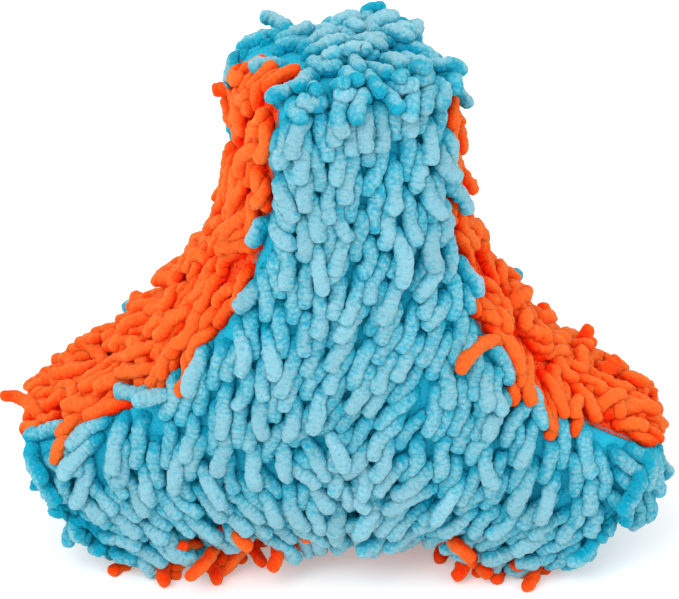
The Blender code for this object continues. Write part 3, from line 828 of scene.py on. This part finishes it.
def addNode(tree, kind, settings=None, inputs=None, stops=None):
    node = tree.nodes.new(kind)
    for name, value in (settings or {}).items():
        setattr(node, name, value)
    for name, value in (inputs or {}).items():
        if isinstance(value, bpy.types.NodeSocket):
            tree.links.new(value, node.inputs[name])
        else:
            node.inputs[name].default_value = value
    for k, (place, colour) in enumerate(stops or ()):
        stop = node.color_ramp.elements[k] if k < 2 else node.color_ramp.elements.new(place)
        stop.position, stop.color = place, hexColour(colour)
    return node


def cleared(made):
    made.use_nodes = True
    made.node_tree.nodes.clear()
    return made, made.node_tree


# 1 for rays that come from the camera or a shine, and 0 for those that carry soft light
def seenRay(tree, rays):
    return addNode(tree, "ShaderNodeMath", {"operation": "MAXIMUM"}, {
        0: rays.outputs["Is Camera Ray"], 1: rays.outputs["Is Glossy Ray"]})


# Polyester chenille noodles, spun round a core and cut blunt, with fine ridges across each strand.
# Painted shade and light in the colour: deep low between the strands and on their sides and undersides,
# paler matte fibre tops outside
def chenilleMaterial(finish):
    made, tree = cleared(bpy.data.materials.new(finish["name"]))
    height, facing, tone = (addNode(tree, "ShaderNodeAttribute", {"attribute_name": layer})
                            for layer in ("pileHeight", "pileFacing", "strandTone"))
    strand = addNode(tree, "ShaderNodeUVMap", {"uv_map": "strandMap"})
    place = addNode(tree, "ShaderNodeTexCoord")
    # Painted shade: lift is 0 near the cloth and outer is low on a strand's sides and underside, where the
    # colour turns deep
    lift = addNode(tree, "ShaderNodeMapRange", {"interpolation_type": "SMOOTHSTEP"}, {
        "Value": height.outputs["Fac"], "From Min": finish["fullShadeHeight"], "From Max": finish["shadeEndHeight"]})
    outer = addNode(tree, "ShaderNodeMapRange", {"interpolation_type": "SMOOTHSTEP"}, {
        "Value": facing.outputs["Fac"], "From Min": -0.7, "From Max": 0.85, "To Min": 0.15})
    granules = addNode(tree, "ShaderNodeTexVoronoi", None, {
        "Vector": place.outputs["Object"], "Scale": 1 / finish["granule"]})
    fleck = addNode(tree, "ShaderNodeTexNoise", None, {
        "Vector": place.outputs["Object"], "Scale": 1 / finish["fleck"], "Detail": 3.0, "Roughness": 0.7})
    ridges = addNode(tree, "ShaderNodeTexWave", {"bands_direction": "Y"}, {
        "Vector": strand.outputs["UV"], "Scale": 2 * math.pi / 20 / finish["ridge"], "Distortion": 6.0,
        "Detail": 3.0, "Detail Scale": 1.8})
    creases = addNode(tree, "ShaderNodeMapRange", {"interpolation_type": "SMOOTHSTEP"}, {
        "Value": ridges.outputs["Fac"], "From Min": 0.02, "From Max": 0.30})
    # Besides mottling the colour, the grain darkens it in the hollows of the granules and ridges, a painted
    # shade on the relief that the bump also draws
    rough = addNode(tree, "ShaderNodeMath", {"operation": "MULTIPLY_ADD"}, {
        0: granules.outputs["Distance"], 1: -0.9, 2: fleck.outputs["Fac"]})
    rough = addNode(tree, "ShaderNodeMath", {"operation": "MULTIPLY_ADD"}, {
        0: creases.outputs["Result"], 1: finish["creases"], 2: rough.outputs[0]})
    depth = addNode(tree, "ShaderNodeMath", {"operation": "MULTIPLY"}, {
        0: lift.outputs["Result"], 1: outer.outputs["Result"]})
    share = addNode(tree, "ShaderNodeMath", {"operation": "MULTIPLY_ADD"}, {
        0: rough.outputs[0], 1: finish["grain"], 2: depth.outputs[0]})
    # The ramp runs from the painted shade between the strands (deep) to the painted light on the outward
    # tops (pale)
    ramp = addNode(tree, "ShaderNodeValToRGB", None, {"Fac": share.outputs[0]},
                   [(0.0, finish["deep"]), (1.0, finish["pale"]), (0.40, finish["middle"]),
                    (0.78, finish["open"])])
    colour = addNode(tree, "ShaderNodeHueSaturation", None, {
        "Value": tone.outputs["Fac"], "Color": ramp.outputs["Color"]})
    # The same painted shade also takes the sheen away between the strands
    velvet = addNode(tree, "ShaderNodeMath", {"operation": "MULTIPLY"}, {
        0: depth.outputs[0], 1: finish["sheen"]})
    bump = addNode(tree, "ShaderNodeBump", None, {
        "Strength": finish["bump"], "Distance": 0.0008, "Height": rough.outputs[0]})
    shader = addNode(tree, "ShaderNodeBsdfPrincipled", None, {
        "Base Color": colour.outputs["Color"], "Roughness": 0.95, "IOR": 1.45,
        "Subsurface Weight": finish["glow"], "Subsurface Radius": finish["glowRadius"],
        "Subsurface Scale": 0.004, "Specular IOR Level": 0.10, "Sheen Weight": velvet.outputs[0],
        "Sheen Roughness": 0.5, "Sheen Tint": hexColour(finish["sheenTint"]),
        "Normal": bump.outputs["Normal"]})
    addNode(tree, "ShaderNodeOutputMaterial", None, {"Surface": shader.outputs["BSDF"]})
    return made


# A plain textile, where one pattern gives both the colour and the relief
def textileMaterial(name, pattern, inputs, stops, bump, finish, settings=None):
    made, tree = cleared(bpy.data.materials.new(name))
    place = addNode(tree, "ShaderNodeTexCoord")
    level = addNode(tree, pattern, settings, {"Vector": place.outputs["Object"], **inputs}).outputs[0]
    ramp = addNode(tree, "ShaderNodeValToRGB", None, {"Fac": level}, stops)
    relief = addNode(tree, "ShaderNodeBump", {"invert": bool(settings)}, {
        "Strength": bump[0], "Distance": bump[1], "Height": level})
    shader = addNode(tree, "ShaderNodeBsdfPrincipled", None, {
        "Base Color": ramp.outputs["Color"], "Normal": relief.outputs["Normal"], **finish})
    addNode(tree, "ShaderNodeOutputMaterial", None, {"Surface": shader.outputs["BSDF"]})
    return made


# Polyester warp-knit backing: a net of fine loops with small holes, seen only between strands. The holes
# take a darker colour, a painted shade in the recesses
def backingMaterial(name, colour, holeShade):
    return textileMaterial(name, "ShaderNodeTexVoronoi", {"Scale": 1 / 0.0013},
                           [(0.10, colour), (0.30, holeShade)], (0.6, 0.0003),
                           {"Roughness": 0.85, "IOR": 1.45, "Specular IOR Level": 0.2},
                           {"feature": "DISTANCE_TO_EDGE"})


# The fibre tufts of real noodles are about 0.4 mm apart. Granules, flecks and cross ridges are drawn
# 1.2 to 1.5 mm apart, as fine as still shows
# Ramp colours from the painted shade between the strands (deep) to the painted light on the outward tops
# (pale), and the heights over the cloth between which that shade fades out
blueFinish = {
    "name": "blueChenillePolyester", "deep": "#00a4c4", "middle": "#24a9c5", "open": "#68bdd0",
    "pale": "#8ec6d5", "glow": 0.8, "glowRadius": (0.8, 0.5, 0.45), "grain": 0.70, "creases": 0.22,
    "fullShadeHeight": 0.0003, "shadeEndHeight": 0.0066, "bump": 1.0, "sheen": 0.7, "sheenTint": "#a8dcec",
    "granule": 0.00125, "fleck": 0.0012, "ridge": 0.0015,
}
orangeFinish = {
    "name": "orangeChenillePolyester", "deep": "#ff2200", "middle": "#ff460c", "open": "#ff601e",
    "pale": "#ff6c2a", "glow": 0.8, "glowRadius": (0.35, 0.6, 0.8), "grain": 0.35, "creases": 0.08,
    "fullShadeHeight": 0.0002, "shadeEndHeight": 0.0045, "bump": 0.6, "sheen": 1.0, "sheenTint": "#ff9050",
    "granule": 0.00125, "fleck": 0.0012, "ridge": 0.0015,
}
blueChenille = chenilleMaterial(blueFinish)
orangeChenille = chenilleMaterial(orangeFinish)
# The second colour of each backing is the painted shade in its holes
blueBacking = backingMaterial("blueWarpKnitBacking", "#22b4d2", "#14a2c2")
orangeBacking = backingMaterial("orangeWarpKnitBacking", "#f4511a", "#c92c08")
# Hollow polyester fibre, carded and blown in: white and matte with fine crossing fibres
fibreFill = textileMaterial("whitePolyesterFibreFill", "ShaderNodeTexNoise", {
    "Scale": 1 / 0.002, "Detail": 8.0, "Roughness": 0.75, "Distortion": 2.5},
    [(0.3, "#d2d2cc"), (0.7, "#f4f4f0")], (0.7, 0.0006), {"Roughness": 0.95, "Specular IOR Level": 0.2})
# Two-ply twisted polyester sewing thread: a slight shine along the plies
sewingThread = textileMaterial("twistedPolyesterThread", "ShaderNodeTexNoise", {
    "Scale": 1 / 0.0002, "Detail": 2.0}, [(0.3, "#1a7f92"), (0.7, "#2c97aa")], (0.3, 0.0001),
    {"Roughness": 0.5, "Specular IOR Level": 0.4})
print("materials made")


def placed(name, data):
    made = bpy.data.objects.new(name, data)
    bpy.context.scene.collection.objects.link(made)
    return made


def addPiece(name, vertices, faces, material, nodes):
    data = bpy.data.meshes.new(name)
    data.vertices.add(len(vertices))
    data.vertices.foreach_set("co", vertices.astype(np.float32).reshape(-1))
    data.loops.add(faces.size)
    data.loops.foreach_set("vertex_index", faces.astype(np.int32).reshape(-1))
    data.polygons.add(len(faces))
    data.polygons.foreach_set("loop_start", np.arange(len(faces), dtype=np.int32) * faces.shape[1])
    data.materials.append(material)
    data.update(calc_edges=True)
    data.shade_smooth()
    piece = placed(name, data)
    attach(piece, "root")
    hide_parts(*nodes)
    return piece


fabricLooks = {True: (blueBacking, blueChenille, "blue_chenille"),
               False: (orangeBacking, orangeChenille, "orange_chenille")}

# Cloth of each fabric piece, with its thickness inward
for number, name in enumerate(fabricNames):
    quads = coverQuads[coverFabrics == number]
    used, local = np.unique(quads, return_inverse=True)
    backing, _, slotName = fabricLooks[number in blueFabrics]
    cloth = addPiece(name + "_cloth", coverPoints[used], local.reshape(quads.shape), backing,
                     (name,))
    thick = cloth.modifiers.new("clothThickness", "SOLIDIFY")
    thick.thickness, thick.offset = clothWork["thickness"], -1
print("cloth laid")

strandPoints, strandCentres, strandRun = strandMeshes(pilePoints, radii, lengths)
strandHeights, strandFacings = pileHeights(strandPoints, strandCentres)
print("strands meshed")


# The triangles of one closed strand as vertex numbers, the two tips last, and for each corner its
# share of the way round and along
def strandPattern(rings, sides):
    ring, column = (grid.reshape(-1, 1) for grid in np.mgrid[0:rings - 1, 0:sides])
    steps = ((0, 0), (1, 0), (1, 1), (0, 0), (1, 1), (0, 1))
    body = np.hstack([np.hstack((column + right, ring + up)) for right, up in steps]).reshape(-1, 3, 2)
    low = np.arange(sides)[:, None]
    first = np.stack(np.broadcast_arrays(low + np.array((0, 0.5, 1)), 0), -1)
    last = np.stack(np.broadcast_arrays(low + np.array((1, 0.5, 0)), rings - 1), -1)
    corners = np.concatenate((body, first, last))
    column, ring = corners[..., 0], corners[..., 1]
    vertices = np.where(column % 1 > 0, rings * sides + (ring > 0), ring * sides + column % sides)
    share = np.stack((column / sides, strandRun[ring.astype(int)]), -1).reshape(-1, 2)
    return vertices.astype(int), share


strandFaces, strandShares = strandPattern(pileWork["rings"], pileWork["sides"])


# Closed strands joined as one piece, with a map in real sizes and one for baking, a cell a strand
def addPile(name, chosen, material, node):
    n, size = len(chosen), pileWork["rings"] * pileWork["sides"] + 2

    def withTips(values):
        body = values.reshape(n, size - 2, -1)
        return np.concatenate((body, values[:, (0, -1)].mean(2).reshape(n, 2, -1)), 1).reshape(n * size, -1)

    faces = (strandFaces + np.arange(n)[:, None, None] * size).reshape(-1, 3)
    piece = addPiece(name, withTips(strandPoints[chosen]), faces, material, (node,))
    data = piece.data
    tones = np.repeat(rng.normal(1.0, pileWork["toneSpread"], n), size)
    for layer, values in (("pileHeight", withTips(strandHeights[chosen])),
                          ("pileFacing", withTips(strandFacings[chosen])), ("strandTone", tones)):
        values = values.astype(np.float32).reshape(-1)
        data.attributes.new(layer, "FLOAT", "POINT").data.foreach_set("value", values)
    real = strandShares * np.stack((2 * math.pi * radii[chosen], lengths[chosen]), 1)[:, None]
    across = math.ceil(math.sqrt(n))
    cell = np.stack((np.arange(n) % across, np.arange(n) // across), 1)[:, None]
    for layer, values in (("strandMap", real), ("OFBake", (cell + 0.03 + 0.94 * strandShares) / across)):
        data.uv_layers.new(name=layer).data.foreach_set("uv", values.astype(np.float32).reshape(-1))
    data.uv_layers.active = data.uv_layers["OFBake"]
    print(name, n, "strands", len(faces), "triangles")


# The pile of a panel or a gusset is in parts, one to a limb, so that no piece grows too heavy
rootLimbs = ((roots - hubCentre) @ np.transpose(alongLimb)).argmax(1)
for number, name in enumerate(fabricNames):
    _, look, slotName = fabricLooks[number in blueFabrics]
    if number < 5:
        for limb, limbName in enumerate(toyShape["limbNames"]):
            chosen = np.flatnonzero((rootFabrics == number) & (rootLimbs == limb))
            if len(chosen):
                addPile(f"{name}_{limbName}_limb_pile", chosen, look, name)
    else:
        addPile(name + "_pile", np.flatnonzero(rootFabrics == number), look, name)

# Stuffing, one lobe for the hub and one for each limb. It keeps under the cloth of the cover
fillWork = {"voxel": 0.0028, "smooth": 4, "fullness": 0.0003, "fill": 0.8, "under": 0.0016}
for lobe in ("hub", "right_limb", "top_limb", "left_limb"):
    node = "stuffing_" + lobe
    source = next(o for o in bpy.context.scene.objects if o.get("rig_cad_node") == node)
    data = source.data.copy()
    data.materials.clear()
    data.materials.append(fibreFill)
    piece = placed(node + "_fill", data)
    remesh = piece.modifiers.new("fibreMesh", "REMESH")
    remesh.mode, remesh.voxel_size, remesh.use_smooth_shade = "VOXEL", fillWork["voxel"], True
    even = piece.modifiers.new("even", "SMOOTH")
    even.iterations, even.factor = fillWork["smooth"], 0.5
    full = piece.modifiers.new("full", "DISPLACE")
    full.strength, full.mid_level = fillWork["fullness"], 0.0
    shaped = bpy.data.meshes.new_from_object(piece.evaluated_get(bpy.context.evaluated_depsgraph_get()))
    for vertex in shaped.vertices:
        near, normal, _, _ = coverTree.find_nearest(vertex.co)
        beyond = (vertex.co - near).dot(normal) + fillWork["under"]
        if beyond > 0:
            vertex.co -= normal * beyond
    piece.modifiers.clear()
    piece.data = shaped
    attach(piece, "root")
    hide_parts(node)
print("stuffing placed")

# Sewing thread along each seam, two plies twisted together
threadWork = {"radius": 0.00030, "pitch": 0.0012, "step": 0.00024, "sides": 6, "sunk": 0.0001}


def seamLoop(face):
    parts = []
    share = np.linspace(0, 1, 60)
    across = np.linspace(-1, 1, 40)
    for limb in range(3):
        for places, side in ((share[:-1], -1), (share[::-1][:-1], 1)):
            points = seamPoint(limb, side, places)
            points[:, 1] = face * seamDepth(places)
            if side == 1:
                parts.append(capPoint(limb, across[:-1], np.full(len(across) - 1, float(face))))
            parts.append(points)
    return np.concatenate(parts)


def capSeam(limb, side):
    depth = np.linspace(-0.93, 0.93, 40)
    return capPoint(limb, np.full(40, float(side)), depth)


def addThread(node, points, closed):
    near, normals, _ = nearest(settled(points))
    path = near - normals * threadWork["sunk"]
    if closed:
        path = np.concatenate((path, path[:1]))
    for _ in range(2):
        path[1:-1] = (path[:-2] + path[1:-1] * 2 + path[2:]) / 4
    gone = np.concatenate(((0.0,), np.cumsum(np.linalg.norm(np.diff(path, axis=0), axis=1))))
    count = int(gone[-1] / threadWork["step"])
    turns = round(gone[-1] / threadWork["pitch"])
    at = np.linspace(0, gone[-1], count)
    spots = np.stack([np.interp(at, gone, path[:, k]) for k in range(3)], 1)
    tangent = unit(np.gradient(spots, axis=0))
    first = unit(np.cross(tangent, (0.3, 1.0, 0.2)))
    second = np.cross(tangent, first)
    sides = threadWork["sides"]
    vertices, faces = [], []
    for ply in (0, 1):
        twist = 2 * math.pi * turns * at / gone[-1] + ply * math.pi
        ways = first * np.cos(twist)[:, None] + second * np.sin(twist)[:, None]
        middle = spots + ways * threadWork["radius"] * 0.5
        angle = np.linspace(0, 2 * math.pi, sides, endpoint=False)
        ring = first[:, None] * np.cos(angle)[:, None] + second[:, None] * np.sin(angle)[:, None]
        vertices.append((middle[:, None] + ring * threadWork["radius"] * 0.55).reshape(-1, 3))
        index = np.arange(count * sides).reshape(count, sides) + ply * count * sides
        after = np.roll(index, -1, axis=1)
        faces.append(np.stack((index[:-1], after[:-1], after[1:], index[1:]), -1).reshape(-1, 4))
    addPiece(node + "_stitching", np.concatenate(vertices), np.concatenate(faces), sewingThread,
             (node,))


addThread("thread_front_seam", seamLoop(-1), True)
addThread("thread_back_seam", seamLoop(1), True)
for node, limb, side in (("thread_cap_right_to_top_right", 0, 1), ("thread_cap_right_to_base", 0, -1),
                         ("thread_cap_top_to_top_left", 1, 1), ("thread_cap_top_to_top_right", 1, -1),
                         ("thread_cap_left_to_base", 2, 1), ("thread_cap_left_to_top_left", 2, -1)):
    addThread(node, capSeam(limb, side), False)
print("threads sewn")

# A pale seamless floor and soft studio light
studio = {
    "worldStrength": 0.88, "keyPower": 10.6, "fillPower": 2.8, "floorColour": "#f2f2f2",
    "floorShine": 0.30, "softboxSizes": (1.1, 1.2),
    "keyPlace": (-0.55, -0.95, 1.15), "fillPlace": (1.0, -0.7, 0.7),
}
world, tree = cleared(bpy.data.worlds.new("softWhiteStudio"))
rays = addNode(tree, "ShaderNodeLightPath")
seen = seenRay(tree, rays)
seen = addNode(tree, "ShaderNodeMath", {"operation": "MAXIMUM"}, {
    0: seen.outputs[0], 1: rays.outputs["Is Transmission Ray"]})
level = addNode(tree, "ShaderNodeMapRange", None, {
    "Value": seen.outputs[0], "To Min": studio["worldStrength"], "To Max": 1.0})
glow = addNode(tree, "ShaderNodeBackground", None, {
    "Color": (1, 1, 1, 1), "Strength": level.outputs["Result"]})
addNode(tree, "ShaderNodeOutputWorld", None, {"Surface": glow.outputs["Background"]})
bpy.context.scene.world = world

floorMaterial, tree = cleared(bpy.data.materials.new("paleStudioFloor"))
matte = addNode(tree, "ShaderNodeBsdfDiffuse", None, {"Color": hexColour(studio["floorColour"])})
shine = addNode(tree, "ShaderNodeEmission", None, {"Color": (1, 1, 1, 1), "Strength": studio["floorShine"]})
both = addNode(tree, "ShaderNodeAddShader", None, {0: matte.outputs[0], 1: shine.outputs[0]})
seen = seenRay(tree, addNode(tree, "ShaderNodeLightPath"))
choice = addNode(tree, "ShaderNodeMixShader", None, {
    "Fac": seen.outputs[0], 1: matte.outputs[0], 2: both.outputs[0]})
addNode(tree, "ShaderNodeOutputMaterial", None, {"Surface": choice.outputs[0]})
bpy.ops.mesh.primitive_circle_add(vertices=96, radius=3.0, fill_type="NGON", location=(0, 0, 0))
floor = bpy.context.object
floor.name = "studioFloor"
floor.data.materials.append(floorMaterial)


def addSoftbox(name, place, power, size):
    data = bpy.data.lights.new(name, "AREA")
    data.shape, data.size, data.energy = "DISK", size, power
    lamp = placed(name, data)
    lamp.location = place
    lamp.rotation_euler = (Vector((0, 0, 0.07)) - Vector(place)).to_track_quat("-Z", "Y").to_euler()


for name, size in zip(("key", "fill"), studio["softboxSizes"]):
    addSoftbox(name + "Softbox", studio[name + "Place"], studio[name + "Power"], size)

# The photo's view: a little above the toy, straight on. The image is 679 by 599
view = {"aim": (0, 0, 0.065), "elevation": 29.1, "yaw": -1.0, "distance": 0.912, "focalPixels": 3221.0,
        "aimPixel": (342.0, 343.2), "imageSize": (679, 599), "sensor": 36.0}
elevation, yaw = math.radians(view["elevation"]), math.radians(view["yaw"])
toCamera = Vector((-math.sin(yaw) * math.cos(elevation), -math.cos(yaw) * math.cos(elevation),
                   math.sin(elevation)))
rightWay = Vector((math.cos(yaw), -math.sin(yaw), 0))
upWay = toCamera.cross(rightWay).normalized()
perPixel = view["distance"] / view["focalPixels"]
moveRight = -(view["aimPixel"][0] - view["imageSize"][0] / 2) * perPixel
moveUp = (view["aimPixel"][1] - view["imageSize"][1] / 2) * perPixel
cameraData = bpy.data.cameras.new("photoCamera")
cameraData.sensor_width = view["sensor"]
cameraData.lens = view["focalPixels"] * view["sensor"] / view["imageSize"][0]
camera = placed("photoCamera", cameraData)
camera.location = Vector(view["aim"]) + toCamera * view["distance"] + rightWay * moveRight + upWay * moveUp
camera.rotation_euler = (-toCamera).to_track_quat("-Z", "Y").to_euler()
bpy.context.scene.camera = camera
bpy.context.scene.view_settings.view_transform = "Standard"
print("studio and camera set")
